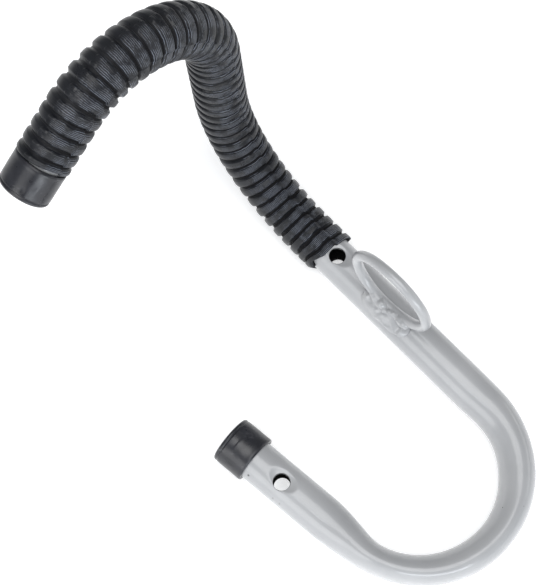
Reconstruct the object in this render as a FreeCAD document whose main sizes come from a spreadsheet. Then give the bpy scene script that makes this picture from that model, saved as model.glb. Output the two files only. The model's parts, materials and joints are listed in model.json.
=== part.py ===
import FreeCAD, Part
import math
import os

import Sketcher
from FreeCAD import Placement, Rotation, Vector

# Wall hook for hanging a bicycle: one bent steel tube with a ribbed rubber sleeve over its arm,
# a push-on cap on each end, and a padlock ring welded to the upper leg.
#
# Frame: Z = 0 is the wall face, which the tube's back touches at the screw holes, and +Z points out of
# the wall. The sleeve, the squashed base bend and the heel cap are a little thicker than the tube and
# press on the wall as the screws are tightened. The origin is midway between the two screw holes, and
# +Y runs from the hole beside the heel cap to the hole beside the arm. All sizes are in millimetres.

DIMENSIONS = (
    # alias, value, meaning
    ("tube_outer_d", 25.4, "outside diameter of the tube, one inch"),
    ("tube_wall", 1.6, "thickness of the tube's wall"),
    ("heel_end_len", 39.0, "tube end under the heel cap to the heel screw hole"),
    ("heel_leg_len", 56.5, "heel screw hole to the start of the base bend"),
    ("base_bend_rad", 58.0, "centreline radius of the base bend"),
    ("base_bend_deg", 174.0, "turn of the base bend, flat on the wall"),
    ("arm_leg_len", 126.0, "end of the base bend to the arm screw hole"),
    ("foot_len", 22.0, "arm screw hole to the start of the foot bend"),
    ("foot_bend_rad", 84.0, "centreline radius of the bend that leaves the wall"),
    ("foot_bend_deg", 83.0, "turn of the bend that leaves the wall"),
    ("riser_len", 49.0, "straight run out from the wall"),
    ("hook_roll_deg", -90.0, "turn of the tube about itself before the hook bend"),
    ("hook_bend_rad", 58.0, "centreline radius of the hook bend"),
    ("hook_bend_deg", 125.0, "turn of the hook bend"),
    ("tip_len", 49.8, "straight run from the hook bend to the tube's tip end"),
    ("squash_max", 0.33, "largest narrowing of the tube in the base bend, as a share of its diameter"),
    ("squash_spread", 0.70, "share of the narrowing that comes back as thickness off the wall"),
    ("screw_hole_rad", 5.05, "radius of each screw hole"),
    ("dimple_ball_rad", 24.0, "radius of the ball that presses the seat around each screw hole"),
    ("dimple_depth", 2.4, "depth of the pressed seat below the tube's crown"),
    ("sleeve_outer_rad", 15.8, "radius over the sleeve's ribs"),
    ("sleeve_bore_rad", 12.8, "radius of the sleeve's bore"),
    ("sleeve_gap", 11.5, "arm screw hole to the lower end of the sleeve"),
    ("sleeve_tip_gap", 0.8, "gap between the sleeve and the tip cap"),
    ("cap_outer_rad", 15.0, "radius of the end caps"),
    ("cap_bore_rad", 12.75, "radius of the caps' bore"),
    ("cap_skirt_len", 18.0, "length of cap over the tube"),
    ("cap_end_thick", 2.2, "thickness of the caps' closed end"),
    ("cap_floor_gap", 0.1, "gap between the tube's end and the cap's floor"),
    ("cap_round_rad", 1.4, "rounding of the caps' closed end"),
    ("cap_lip_bevel", 0.5, "bevel on the caps' open lip"),
    ("ring_centre_rad", 27.7, "radius of the padlock ring's centreline"),
    ("ring_rod_rad", 3.2, "radius of the rod the ring is made of"),
    ("ring_setback", 43.5, "arm screw hole to the ring, along the leg"),
    ("ring_root_gap", 0.6, "weld metal under the ring"),
    ("ring_round_deg", -12.4, "how far round the tube the ring stands"),
    ("ring_yaw_deg", 0.3, "how far the ring is turned from the leg's line"),
    ("ring_lean_deg", -2.0, "how far the ring leans from square to the wall"),
    ("weld_half_len", 14.5, "half length of the weld bead"),
    ("weld_half_wide", 7.0, "half width of the weld bead"),
    ("weld_height", 4.4, "height of the weld bead over the tube's crown"),
)

# Where the base bend is squashed: a place along the bend, as a share of it, and how much of
# squash_max it has there. The bend was drawn from the heel leg, so it is flattest near that end.
SQUASH_STATIONS = ((-0.15, 0.0), (0.10, 1.0), (0.50, 0.72), (0.80, 0.40), (1.10, 0.0))
SQUASH_SECTIONS = 15

NODES = ("hook_tube", "ribbed_sleeve", "tip_cap", "heel_cap", "lock_ring", "ring_weld")

doc = FreeCAD.newDocument("wall_bike_hook")


# ---------------------------------------------------------------- driving dimensions

def make_sheet():
    """Write every driving dimension into the spreadsheet, one row each, with an alias."""
    made = doc.addObject("Spreadsheet::Sheet", "Sizes")
    for row, (alias, value, meaning) in enumerate(DIMENSIONS, start=1):
        made.set(f"A{row}", meaning)
        made.set(f"B{row}", str(value))
        made.setAlias(f"B{row}", alias)
    doc.recompute()
    return made


sheet = make_sheet()


def size(alias):
    """A driving dimension, read back from the sheet."""
    return float(sheet.get(alias))


def bind(thing, prop, formula):
    """Bind a property to the sheet. Words that are aliases get the sheet's name in front."""
    words = {alias for alias, _, _ in DIMENSIONS}
    parts = formula.split(" ")
    thing.setExpression(prop, " ".join(f"Sizes.{w}" if w in words else w for w in parts))


# ---------------------------------------------------------------- the tube's centreline

class TubeLine:
    """The centreline, laid down as a bender does it: straight runs, bends and rolls."""

    def __init__(self, start, heading, inward):
        self.spot = Vector(start)
        self.heading = Vector(heading)
        self.inward = Vector(inward)
        self.length = 0.0
        self.pieces = []

    def run(self, length):
        self._lay(length, None)

    def bend(self, radius, degrees):
        self._lay(radius * math.radians(degrees), radius)

    def roll(self, degrees):
        self.inward = Rotation(self.heading, degrees).multVec(self.inward)

    def _lay(self, length, radius):
        piece = (self.length, length, radius, Vector(self.spot), Vector(self.heading), Vector(self.inward))
        self.pieces.append(piece)
        self.spot, self.heading, self.inward = self._along(piece, length)
        self.length += length

    @staticmethod
    def _along(piece, distance):
        """Place, heading and inward direction at a distance into one piece."""
        _, _, radius, spot, heading, inward = piece
        if radius is None:
            return spot + heading * distance, Vector(heading), Vector(inward)
        angle = distance / radius
        centre = spot + inward * radius
        out = centre - inward * (radius * math.cos(angle)) + heading * (radius * math.sin(angle))
        ahead = heading * math.cos(angle) + inward * math.sin(angle)
        within = inward * math.cos(angle) - heading * math.sin(angle)
        return out, ahead, within

    def at(self, distance):
        """Place, heading and inward direction at a distance along the whole line."""
        chosen = self.pieces[0]
        for piece in self.pieces:
            if distance >= piece[0] - 1e-9:
                chosen = piece
        return self._along(chosen, distance - chosen[0])

    def wire(self, first, last):
        """The stretch of line between two distances, as one wire of lines and arcs."""
        edges = []
        for piece in self.pieces:
            low = max(first, piece[0])
            high = min(last, piece[0] + piece[1])
            if high - low < 1e-6:
                continue
            ends = [self._along(piece, d - piece[0])[0] for d in (low, (low + high) / 2, high)]
            if piece[2] is None:
                edges.append(Part.LineSegment(ends[0], ends[2]).toShape())
            else:
                edges.append(Part.Arc(*ends).toShape())
        return Part.Wire(edges)


def lay_tube(start, heading):
    """The whole hook's line from the heel end, and the named distances along it."""
    line = TubeLine(start, heading, Rotation(Vector(0, 0, 1), 90).multVec(heading))
    marks = {}
    line.run(size("heel_end_len"))
    marks["heel_hole"] = line.length
    line.run(size("heel_leg_len"))
    marks["base_in"] = line.length
    line.bend(size("base_bend_rad"), size("base_bend_deg"))
    marks["base_out"] = line.length
    line.run(size("arm_leg_len"))
    marks["arm_hole"] = line.length
    line.run(size("foot_len"))
    line.inward = Vector(0, 0, 1)
    line.bend(size("foot_bend_rad"), size("foot_bend_deg"))
    line.run(size("riser_len"))
    line.roll(size("hook_roll_deg"))
    line.bend(size("hook_bend_rad"), size("hook_bend_deg"))
    line.run(size("tip_len"))
    marks["tip"] = line.length
    return line, marks


def lay_tube_on_wall():
    """Lay the line so that the screw holes are on the Y axis, the same distance from the origin."""
    axis_height = Vector(0, 0, size("tube_outer_d") / 2)
    trial, marks = lay_tube(axis_height, Vector(1, 0, 0))
    heel = trial.at(marks["heel_hole"])[0]
    arm = trial.at(marks["arm_hole"])[0]
    hole_line = arm - heel
    turn = Rotation(Vector(0, 0, 1), 90 - math.degrees(math.atan2(hole_line.y, hole_line.x)))
    middle = (heel + arm) / 2
    start = turn.multVec(axis_height - middle) + axis_height
    return lay_tube(start, turn.multVec(Vector(1, 0, 0)))


line, mark = lay_tube_on_wall()


def facing(distance):
    """A placement on the line whose Z axis looks along it and whose X axis is the inward side."""
    spot, ahead, within = line.at(distance)
    side = ahead.cross(within)
    return Placement(spot, Rotation(within, side, ahead, "ZXY"))


def path(name, first, last):
    """A guide wire along part of the tube's line."""
    guide = doc.addObject("Part::Feature", name)
    guide.Shape = line.wire(first, last)
    return guide


# ---------------------------------------------------------------- shared makers

def swept_round(name, guide, first, radius_formula):
    """A round bar along a guide wire that starts at a distance along the line."""
    section = doc.addObject("Part::Circle", f"{name}_section")
    bind(section, "Radius", radius_formula)
    section.Placement = facing(first)
    bar = doc.addObject("Part::Sweep", name)
    bar.Sections = [section]
    bar.Spine = (guide, [f"Edge{i + 1}" for i in range(len(guide.Shape.Edges))])
    bar.Solid = True
    bar.Frenet = False
    return bar


def squash_share(place):
    """Share of squash_max at a place along the base bend, eased between the stations."""
    for (low, low_share), (high, high_share) in zip(SQUASH_STATIONS, SQUASH_STATIONS[1:]):
        if place <= high:
            t = max(0.0, (place - low) / (high - low))
            ease = t * t * (3 - 2 * t)
            return low_share + (high_share - low_share) * ease
    return 0.0


def squashed_bend(name, radius_formula):
    """The base bend as a loft of ovals, tall off the wall and narrow along it."""
    arc = mark["base_out"] - mark["base_in"]
    first = SQUASH_STATIONS[0][0]
    last = SQUASH_STATIONS[-1][0]
    sections = []
    for step in range(SQUASH_SECTIONS):
        place = first + (last - first) * step / (SQUASH_SECTIONS - 1)
        share = squash_share(place)
        spot, ahead, _ = line.at(mark["base_in"] + arc * place)
        oval = doc.addObject("Part::Ellipse", f"{name}_oval_{step}")
        loss = f"tube_outer_d / 2 * squash_max * {share:.6f}"
        bind(oval, "MajorRadius", f"{radius_formula} + {loss} * squash_spread")
        bind(oval, "MinorRadius", f"{radius_formula} - {loss}")
        oval.Placement = Placement(spot, Rotation(Vector(0, 0, 1), Vector(), ahead, "ZXY"))
        sections.append(oval)
    loft = doc.addObject("Part::Loft", name)
    loft.Sections = sections
    loft.Solid = True
    loft.Ruled = False
    return loft


def fused(name, pieces):
    whole = doc.addObject("Part::MultiFuse", name)
    whole.Shapes = pieces
    return whole


def cut(name, base, tool):
    result = doc.addObject("Part::Cut", name)
    result.Base = base
    result.Tool = tool
    return result


def full_bar(name, radius_formula):
    """A solid bar along the whole tube, squashed in the base bend."""
    arc = mark["base_out"] - mark["base_in"]
    bend_from = mark["base_in"] + arc * SQUASH_STATIONS[0][0]
    bend_to = mark["base_in"] + arc * SQUASH_STATIONS[-1][0]
    heel_path = path(f"{name}_heel_path", 0.0, bend_from)
    arm_path = path(f"{name}_arm_path", bend_to, mark["tip"])
    heel = swept_round(f"{name}_heel_run", heel_path, 0.0, radius_formula)
    bend = squashed_bend(f"{name}_bend", radius_formula)
    arm = swept_round(f"{name}_arm_run", arm_path, bend_to, radius_formula)
    return fused(name, [heel, bend, arm])


def at_holes(name, maker):
    """The same tool at both screw holes, fused into one."""
    tools = []
    for which in ("heel_hole", "arm_hole"):
        spot = line.at(mark[which])[0]
        tools.append(maker(f"{name}_{which}", spot))
    return fused(name, tools)


# ---------------------------------------------------------------- hook_tube

def dimple_ball(extra):
    """A maker of the ball that presses the seat, grown by a formula for the inside of the wall."""
    def make(name, spot):
        ball = doc.addObject("Part::Sphere", name)
        bind(ball, "Radius", f"dimple_ball_rad {extra}")
        ball.Placement.Base = Vector(spot.x, spot.y, 0)
        bind(ball, "Placement.Base.z", "tube_outer_d - dimple_depth + dimple_ball_rad")
        return ball
    return make


def screw_drill(name, spot):
    drill = doc.addObject("Part::Cylinder", name)
    bind(drill, "Radius", "screw_hole_rad")
    bind(drill, "Height", "tube_outer_d + 2 * tube_wall")
    drill.Placement.Base = Vector(spot.x, spot.y, 0)
    bind(drill, "Placement.Base.z", "-1 * tube_wall")
    return drill


def make_hook_tube():
    """The tube: its skin and bore are both pressed in at the screw holes, so the wall is even."""
    skin = cut("tube_skin", full_bar("tube_bar", "tube_outer_d / 2"), at_holes("seat_ball", dimple_ball("")))
    bore_bar = full_bar("bore_bar", "tube_outer_d / 2 - tube_wall")
    bore = cut("tube_bore", bore_bar, at_holes("bore_ball", dimple_ball("+ tube_wall")))
    hollow = cut("hollow_tube", skin, bore)
    tube = cut("hook_tube", hollow, at_holes("screw_drill", screw_drill))
    doc.recompute()
    removed = hollow.Shape.Volume - tube.Shape.Volume
    wanted = 4 * math.pi * size("screw_hole_rad") ** 2 * size("tube_wall")
    if not 0.8 * wanted < removed < 1.8 * wanted:
        raise SystemExit(f"screw holes took {removed:.0f} cubic mm, not about {wanted:.0f}")
    return tube, skin


# ---------------------------------------------------------------- ribbed_sleeve

def make_sleeve():
    """The rubber sleeve, to the outline over its ribs."""
    first = mark["arm_hole"] + size("sleeve_gap")
    last = mark["tip"] - size("cap_skirt_len") - size("sleeve_tip_gap")
    guide = path("sleeve_path", first, last)
    outside = swept_round("sleeve_outside", guide, first, "sleeve_outer_rad")
    inside = swept_round("sleeve_inside", guide, first, "sleeve_bore_rad")
    return cut("ribbed_sleeve", outside, inside)


# ---------------------------------------------------------------- tip_cap and heel_cap

def origin_plane(body, role):
    return next(p for p in body.Origin.OriginFeatures if p.Role == role)


def cap_profile(body, name):
    """Half of the cap's section: the closed end is up, and the turning axis is the sketch's V axis."""
    sketch = body.newObject("Sketcher::SketchObject", name)
    sketch.AttachmentSupport = [(origin_plane(body, "XZ_Plane"), "")]
    sketch.MapMode = "FlatFace"
    bore = size("cap_bore_rad")
    outer = size("cap_outer_rad")
    skirt = -size("cap_skirt_len")
    floor = size("cap_floor_gap")
    top = floor + size("cap_end_thick")
    corners = [(0, floor), (bore, floor), (bore, skirt), (outer, skirt), (outer, top), (0, top)]
    points = [Vector(x, y, 0) for x, y in corners]
    for start, end in zip(points, points[1:] + points[:1]):
        sketch.addGeometry(Part.LineSegment(start, end), False)
    count = len(points)
    for side in range(count):
        sketch.addConstraint(Sketcher.Constraint("Coincident", side, 2, (side + 1) % count, 1))
    for side in (0, 2, 4):
        sketch.addConstraint(Sketcher.Constraint("Horizontal", side))
    for side in (1, 3):
        sketch.addConstraint(Sketcher.Constraint("Vertical", side))
    sketch.addConstraint(Sketcher.Constraint("PointOnObject", 0, 1, -2))
    sketch.addConstraint(Sketcher.Constraint("PointOnObject", 5, 1, -2))
    sized = (
        ("floor_gap", ("DistanceY", -1, 1, 0, 1), floor, "cap_floor_gap"),
        ("bore_rad", ("DistanceX", 0, 1, 0, 2), bore, "cap_bore_rad"),
        ("skirt_len", ("DistanceY", 1, 2, -1, 1), -skirt, "cap_skirt_len"),
        ("outer_rad", ("DistanceX", 5, 1, 4, 1), outer, "cap_outer_rad"),
        ("end_thick", ("DistanceY", 0, 1, 5, 1), top - floor, "cap_end_thick"),
    )
    for label, rule, value, formula in sized:
        index = sketch.addConstraint(Sketcher.Constraint(*rule, value))
        sketch.renameConstraint(index, label)
        bind(sketch, f"Constraints.{label}", formula)
    return sketch


def rim_edge(shape, radius, height):
    """Name of the circular edge of a given radius at a given height."""
    for index, edge in enumerate(shape.Edges, start=1):
        if not isinstance(edge.Curve, Part.Circle):
            continue
        if abs(edge.Curve.Radius - radius) < 1e-4 and abs(edge.Curve.Center.z - height) < 1e-4:
            return f"Edge{index}"
    raise SystemExit(f"no rim of radius {radius} at height {height}")


def make_cap(label, place):
    """A push-on cap: a turned cup with a rounded closed end and a bevelled lip."""
    body = doc.addObject("PartDesign::Body", label)
    sketch = cap_profile(body, f"{label}_profile")
    cup = body.newObject("PartDesign::Revolution", f"{label}_cup")
    cup.Profile = sketch
    cup.ReferenceAxis = (sketch, ["V_Axis"])
    cup.Angle = 360.0
    doc.recompute()
    outer = size("cap_outer_rad")
    top = size("cap_floor_gap") + size("cap_end_thick")
    rounded = body.newObject("PartDesign::Fillet", f"{label}_round")
    rounded.Base = (cup, [rim_edge(cup.Shape, outer, top)])
    bind(rounded, "Radius", "cap_round_rad")
    doc.recompute()
    bevel = body.newObject("PartDesign::Chamfer", f"{label}_bevel")
    bevel.Base = (rounded, [rim_edge(rounded.Shape, outer, -size("cap_skirt_len"))])
    bind(bevel, "Size", "cap_lip_bevel")
    body.Placement = place
    return body


def end_placements():
    """Placements for the two caps, each with its Z axis pointing out of the tube's end."""
    heel = facing(0.0)
    heel_out = Placement(heel.Base, heel.Rotation.multiply(Rotation(Vector(1, 0, 0), 180)))
    return facing(mark["tip"]), heel_out


# ---------------------------------------------------------------- lock_ring and ring_weld

def ring_frame():
    """Where the ring is welded: a spot on the tube, the ring's own axes, and the way it stands."""
    spot, ahead, _ = line.at(mark["arm_hole"] - size("ring_setback"))
    up = Vector(0, 0, 1)
    crown = Rotation(ahead, size("ring_round_deg")).multVec(up)
    root = spot + crown * (size("tube_outer_d") / 2)
    along = Rotation(up, size("ring_yaw_deg")).multVec(ahead)
    stand = Rotation(along, size("ring_lean_deg")).multVec(up)
    return root, ahead, crown, along, stand


def make_lock_ring():
    """The padlock ring, standing on its edge on the leg."""
    root, _, _, along, stand = ring_frame()
    lift = size("ring_root_gap") + size("ring_rod_rad") + size("ring_centre_rad")
    ring = doc.addObject("Part::Torus", "lock_ring")
    bind(ring, "Radius1", "ring_centre_rad")
    bind(ring, "Radius2", "ring_rod_rad")
    ring.Placement = Placement(root + stand * lift, Rotation(along, stand, along.cross(stand), "ZXY"))
    return ring


def make_ring_weld(skin, ring):
    """The weld bead: a long low mound on the tube, cut to the tube's skin and to the ring."""
    root, ahead, crown, _, _ = ring_frame()
    mound = doc.addObject("Part::Ellipsoid", "weld_mound")
    bind(mound, "Radius1", "weld_height")
    bind(mound, "Radius2", "weld_half_len")
    bind(mound, "Radius3", "weld_half_wide")
    mound.Placement = Placement(root, Rotation(ahead, crown.cross(ahead), crown, "ZXY"))
    return cut("ring_weld", cut("weld_on_tube", mound, skin), ring)


# ---------------------------------------------------------------- build, check, write

def check_document():
    """Stop if any object failed to compute."""
    for thing in doc.Objects:
        if "Invalid" in thing.State or "Error" in thing.State:
            raise SystemExit(f"{thing.Name} is {thing.State}")


def write_parts(parts):
    os.makedirs("parts", exist_ok=True)
    for name in NODES:
        shape = parts[name].Shape
        if shape.isNull() or not shape.isValid() or len(shape.Solids) != 1:
            raise SystemExit(f"{name} is not one valid solid: {len(shape.Solids)} solids")
        shape.exportStep(f"parts/{name}.step")
        box = shape.BoundBox
        low = (round(box.XMin, 1), round(box.YMin, 1), round(box.ZMin, 1))
        high = (round(box.XMax, 1), round(box.YMax, 1), round(box.ZMax, 1))
        print(f"{name}: {shape.Volume / 1000:.2f} cm3, box {low} to {high}")


hook_tube, tube_skin = make_hook_tube()
sleeve = make_sleeve()
tip_place, heel_place = end_placements()
tip_cap = make_cap("tip_cap", tip_place)
heel_cap = make_cap("heel_cap", heel_place)
lock_ring = make_lock_ring()
ring_weld = make_ring_weld(tube_skin, lock_ring)
doc.recompute()
check_document()

holes = line.at(mark["arm_hole"])[0] - line.at(mark["heel_hole"])[0]
print(f"tube line {line.length:.1f} mm, screw holes {holes.Length:.2f} mm apart")
write_parts({
    "hook_tube": hook_tube,
    "ribbed_sleeve": sleeve,
    "tip_cap": tip_cap,
    "heel_cap": heel_cap,
    "lock_ring": lock_ring,
    "ring_weld": ring_weld,
})
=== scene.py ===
"""Looks of a wall hook for a bicycle: a bent tube, its ribbed sleeve, two end caps and a welded ring."""

import json
import math

import bmesh
import bpy
import numpy as np
from mathutils import Matrix, Vector, noise


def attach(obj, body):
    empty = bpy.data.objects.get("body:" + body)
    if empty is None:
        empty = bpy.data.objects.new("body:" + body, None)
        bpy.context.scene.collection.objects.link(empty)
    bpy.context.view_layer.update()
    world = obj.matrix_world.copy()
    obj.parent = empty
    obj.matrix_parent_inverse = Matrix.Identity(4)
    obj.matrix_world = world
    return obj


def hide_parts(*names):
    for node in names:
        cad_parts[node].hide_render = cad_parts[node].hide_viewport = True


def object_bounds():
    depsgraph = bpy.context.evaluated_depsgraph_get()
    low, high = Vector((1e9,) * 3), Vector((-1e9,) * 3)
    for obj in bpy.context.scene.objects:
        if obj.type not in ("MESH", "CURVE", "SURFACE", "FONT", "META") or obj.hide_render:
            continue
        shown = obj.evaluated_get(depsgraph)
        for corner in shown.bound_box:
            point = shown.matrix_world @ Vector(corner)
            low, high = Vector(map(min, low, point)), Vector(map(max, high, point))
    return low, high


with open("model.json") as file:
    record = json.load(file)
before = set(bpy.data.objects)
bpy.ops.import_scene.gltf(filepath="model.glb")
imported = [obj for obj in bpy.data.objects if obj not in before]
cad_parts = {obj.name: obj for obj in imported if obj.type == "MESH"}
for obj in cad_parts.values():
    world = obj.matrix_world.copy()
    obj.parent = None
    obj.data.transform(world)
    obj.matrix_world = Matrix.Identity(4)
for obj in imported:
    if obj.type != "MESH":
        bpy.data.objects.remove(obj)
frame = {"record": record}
CAD_LOW, CAD_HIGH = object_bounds()

MM = 0.001
UP = Vector((0, 0, 1))

# ---------------------------------------------------------------- sizes, in metres, degrees and shares

# The tube: its section, then its runs and bends from the heel to the tip.
TUBE_RAD = 12.7 * MM
TUBE_WALL = 1.6 * MM
HEEL_HOLE = 39.0 * MM
HEEL_LEG = 56.5 * MM
BASE_BEND_RAD = 58.0 * MM
BASE_BEND_DEG = 174.0
ARM_LEG = 126.0 * MM
FOOT_LEN = 22.0 * MM
FOOT_BEND_RAD = 84.0 * MM
FOOT_BEND_DEG = 83.0
RISER_LEN = 49.0 * MM
HOOK_BEND_RAD = 58.0 * MM
HOOK_BEND_DEG = 125.0
TIP_LEN = 49.8 * MM

# The base bend is pressed narrower and taller. Places are shares of the bend, each with its share of
# the largest squash.
SQUASH_MAX = 0.33
SQUASH_SPREAD = 0.70
SQUASH_LEAN = 0.40
SQUASH_SHIFT = 0.26
SQUASH_PLACES = (-0.15, 0.10, 0.50, 0.80, 1.10)
SQUASH_SHARES = (0.0, 1.0, 0.72, 0.40, 0.0)

# Screw holes, each in the middle of a saucer that a ball pressed. Seats are how far ahead of the hole's
# axis and how far to its side the saucer and its opening lie.
SCREW_RAD = 5.05 * MM
SCREW_ROUNDING = 0.55 * MM
SEAT_BALL_RAD = 21.0 * MM
SEAT_DEPTH = 2.4 * MM
SEAT_SOFTNESS = 0.5 * MM
HEEL_SEAT = (0.3 * MM, -1.8 * MM)
ARM_SEAT = (0.8 * MM, 1.3 * MM)

RIB_RAD = 15.8 * MM
RIB_DEPTH = 2.1 * MM
SLEEVE_BORE = 12.8 * MM
SLEEVE_GAP = 6.0 * MM
SLEEVE_RIBS = 44
SEAM_DEG = -11.0

CAP_RAD = 15.0 * MM
CAP_BORE = 12.75 * MM
CAP_SKIRT = 18.0 * MM
CAP_END = 2.3 * MM

RING_RAD = 27.7 * MM
ROD_RAD = 3.2 * MM
RING_SETBACK = 43.5 * MM


# ---------------------------------------------------------------- the tube's centreline

def turn(vector, axis, angle):
    """A vector turned about an axis by an angle in radians."""
    return Matrix.Rotation(angle, 3, Vector(axis)) @ Vector(vector)


class TubeLine:
    """The centreline as runs and bends. Along it go three axes: ahead, up and side."""

    def __init__(self, start, ahead):
        self.spot = Vector(start)
        self.axes = [Vector(ahead), UP.copy(), UP.cross(Vector(ahead))]
        self.length = 0.0
        self.parts = []

    def run(self, length):
        """Go straight ahead."""
        self.parts.append((self.length, length, self.spot.copy(), list(self.axes), None, None))
        self.spot = self.spot + self.axes[0] * length
        self.length += length

    def bend(self, radius, degrees, toward):
        """Bend towards axis number `toward`: 1 is up and 2 is side."""
        angle = math.radians(degrees)
        inward = self.axes[toward]
        self.parts.append((self.length, radius * angle, self.spot.copy(), list(self.axes), radius, toward))
        pivot = self.axes[0].cross(inward)
        middle = self.spot + inward * radius
        self.spot = middle + turn(self.spot - middle, pivot, angle)
        self.axes = [turn(axis, pivot, angle) for axis in self.axes]
        self.length += radius * angle

    def at(self, distances):
        """Spots and axes for an array of distances, as (n, 3) and (n, 3, 3) arrays."""
        flat = np.ravel(np.asarray(distances, float))
        spots = np.empty((flat.size, 3))
        axes = np.empty((flat.size, 3, 3))
        for number, (first, length, spot, basis, radius, toward) in enumerate(self.parts):
            low = -math.inf if number == 0 else first
            high = math.inf if number == len(self.parts) - 1 else first + length
            chosen = (flat >= low) & (flat <= high)
            travel = (flat[chosen] - first)[:, None]
            ahead = np.array(basis[0])
            start = np.array(spot)
            axes[chosen] = np.array([list(axis) for axis in basis])
            if radius is None:
                spots[chosen] = start + travel * ahead
                continue
            inward = np.array(basis[toward])
            angle = travel / radius
            spots[chosen] = start + radius * (np.sin(angle) * ahead + (1 - np.cos(angle)) * inward)
            turned = axes[chosen]
            turned[:, 0] = np.cos(angle) * ahead + np.sin(angle) * inward
            turned[:, toward] = np.cos(angle) * inward - np.sin(angle) * ahead
            axes[chosen] = turned
        return spots, axes


def laid_line(start, ahead):
    """The whole tube, bent as its bender does it."""
    made = TubeLine(start, ahead)
    made.run(HEEL_HOLE + HEEL_LEG)
    made.bend(BASE_BEND_RAD, BASE_BEND_DEG, 2)
    made.run(ARM_LEG + FOOT_LEN)
    made.bend(FOOT_BEND_RAD, FOOT_BEND_DEG, 1)
    made.run(RISER_LEN)
    made.bend(HOOK_BEND_RAD, HOOK_BEND_DEG, 2)
    made.run(TIP_LEN)
    return made


BEND_START = HEEL_HOLE + HEEL_LEG
BEND_LENGTH = BASE_BEND_RAD * math.radians(BASE_BEND_DEG)
ARM_HOLE = BEND_START + BEND_LENGTH + ARM_LEG


def line_on_the_wall():
    """Lay the line with its two screw holes on the wall mount's line."""
    mount = next(m for m in frame["record"]["mounts"] if m["name"] == "wall_screws")
    middle = Vector(mount["pos_m"]) + UP * TUBE_RAD
    trial = laid_line((0, 0, 0), (1, 0, 0))
    heel, arm = (Vector(spot) for spot in trial.at([HEEL_HOLE, ARM_HOLE])[0])
    angle = math.pi / 2 - math.atan2((arm - heel).y, (arm - heel).x)
    start = middle + turn(-(heel + arm) / 2, UP, angle)
    return laid_line(start, turn((1, 0, 0), UP, angle))


line = line_on_the_wall()
TIP = line.length


# ---------------------------------------------------------------- mesh helpers

def smooth(values, low, high):
    """0 below low, 1 above high, with a soft start and stop."""
    share = np.clip((values - low) / (high - low), 0, 1)
    return share * share * (3 - 2 * share)


def between(values, rise, fall):
    """1 inside a stretch and 0 outside it. `rise` and `fall` are where each soft end starts and stops."""
    return smooth(values, *rise) * (1 - smooth(values, *fall))


def bump(values, middle, width):
    """A rounded hill of height 1."""
    return np.exp(-((values - middle) / width) ** 2)


def degrees_from(angles, middle):
    """How far each angle is from a middle one, in degrees, the short way round."""
    return (np.degrees(angles) - middle + 180) % 360 - 180


def on_line(distances, angles, radii):
    """Points at a distance along the tube, an angle round it and a radius. Angle 0 is the up axis."""
    distances, angles, radii = np.broadcast_arrays(distances, angles, radii)
    spots, axes = line.at(distances)
    angle = angles.reshape(-1, 1)
    outward = np.cos(angle) * axes[:, 1] + np.sin(angle) * axes[:, 2]
    return (spots + radii.reshape(-1, 1) * outward).reshape(distances.shape + (3,))


def grid_faces(index, wrap_rows=False):
    """Quads over a grid of vertex numbers. Its columns go all the way round, and its rows may too."""
    below = np.roll(index, -1, 0)
    if not wrap_rows:
        index, below = index[:-1], below[:-1]
    right, diagonal = np.roll(index, -1, 1), np.roll(below, -1, 1)
    return np.stack([index, below, diagonal, right], -1).reshape(-1, 4).tolist()


def new_piece(name, points, faces, material, slot, *nodes):
    """A shaded mesh piece that stands for CAD nodes and rides on the only body."""
    mesh = bpy.data.meshes.new(name)
    mesh.from_pydata([tuple(point) for point in points], [], faces)
    return dressed_piece(name, mesh, material, slot, *nodes)


def signed_volume(mesh):
    """Six times the volume that the mesh encloses, negative where its faces look inwards."""
    mesh.calc_loop_triangles()
    corners = np.empty(len(mesh.loop_triangles) * 3, np.int64)
    mesh.loop_triangles.foreach_get("vertices", corners)
    places = np.empty(len(mesh.vertices) * 3)
    mesh.vertices.foreach_get("co", places)
    a, b, c = places.reshape(-1, 3)[corners.reshape(-1, 3)].transpose(1, 0, 2)
    return float((np.cross(a, b) * c).sum())


def dressed_piece(name, mesh, material, slot, *nodes):
    """A shaded piece from a mesh, with its faces looking outwards."""
    if signed_volume(mesh) < 0:
        mesh.flip_normals()
    mesh.shade_smooth()
    mesh.materials.append(material)
    piece = bpy.data.objects.new(name, mesh)
    bpy.context.scene.collection.objects.link(piece)
    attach(piece, "root")
    if nodes:
        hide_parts(*nodes)
    return piece


def lined_up_faces(points, faces):
    """The same faces, all wound the same way."""
    draft = bmesh.new()
    corners = [draft.verts.new(point) for point in points]
    for face in faces:
        draft.faces.new([corners[number] for number in face])
    draft.verts.index_update()
    bmesh.ops.recalc_face_normals(draft, faces=draft.faces)
    wound = [[corner.index for corner in face.verts] for face in draft.faces]
    draft.free()
    return wound


def keep_values(piece, name, values):
    """Store one number per vertex for the material to read."""
    layer = piece.data.attributes.new(name, "FLOAT", "POINT")
    layer.data.foreach_set("value", np.ascontiguousarray(values, np.float32).ravel())


def soft_lower(first, second, softness):
    """The lower of two heights, blended where they cross."""
    share = np.clip(0.5 + 0.5 * (second - first) / softness, 0, 1)
    return second * (1 - share) + first * share - softness * share * (1 - share)


# ---------------------------------------------------------------- hook_tube

TUBE_COLUMNS = 96
SKIN_STEP = 1.0 * MM
BORE_STEP = 4.0 * MM
COARSER_IN_SLEEVE = 2.5

# A window of the grid round each hole is left open and filled by a round patch.
WINDOW = 11.0 * MM
WINDOW_STEPS = 22
WINDOW_COLUMNS = 12
PATCH_STEPS = 9
PATCH_CROWDING = 1.3
ROUNDING_DEG = (30, 60, 90)
# Past this turn into a hole, its rounded rim is marked for painted shade.
RIM_SHADE_FROM_DEG = 45
SEAT_REACH = 0.8


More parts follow.
